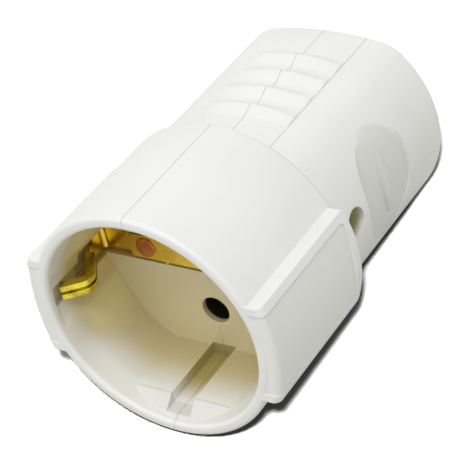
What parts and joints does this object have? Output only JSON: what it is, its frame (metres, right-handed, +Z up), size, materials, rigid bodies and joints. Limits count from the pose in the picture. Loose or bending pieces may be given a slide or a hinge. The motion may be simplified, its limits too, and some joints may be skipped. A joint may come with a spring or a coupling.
{
  "type": "inline socket connector",
  "caption": "Inline mains socket in two moulded half shells: round recess with pin holes and side earth clips, side wings, ridged handle and cable inlet.",
  "frame": {"origin": "centre of the recess mouth, on the socket axis", "axes": "+Y into the recess and on to the cable end, +Z up through the pin holes, the shells part on x = 0"},
  "size_m": [0.0484, 0.0673, 0.0438],
  "materials": {
    "shell": "satin white moulding",
    "earth_brass": "rolled spring brass",
    "rivet_copper": "copper",
    "terminal_brass": "turned",
    "screw_steel": "zinc plated",
    "clamp_plastic": "moulded"
  },
  "bodies": {
    "root": {"housing_left": "shell", "housing_right": "shell", "earth_strap": "earth_brass", "earth_clip_left": "earth_brass", "earth_clip_right": "earth_brass", "earth_rivet_left": "rivet_copper", "earth_rivet_right": "rivet_copper", "earth_terminal": "terminal_brass", "earth_terminal_screw": "screw_steel", "line_contact": "terminal_brass", "neutral_contact": "terminal_brass", "line_terminal": "terminal_brass", "neutral_terminal": "terminal_brass", "line_terminal_screw": "screw_steel", "neutral_terminal_screw": "screw_steel", "cable_clamp": "clamp_plastic", "cable_clamp_screw_upper": "screw_steel", "cable_clamp_screw_lower": "screw_steel", "housing_screw": "screw_steel", "housing_nut": "screw_steel"}
  },
  "joints": []
}
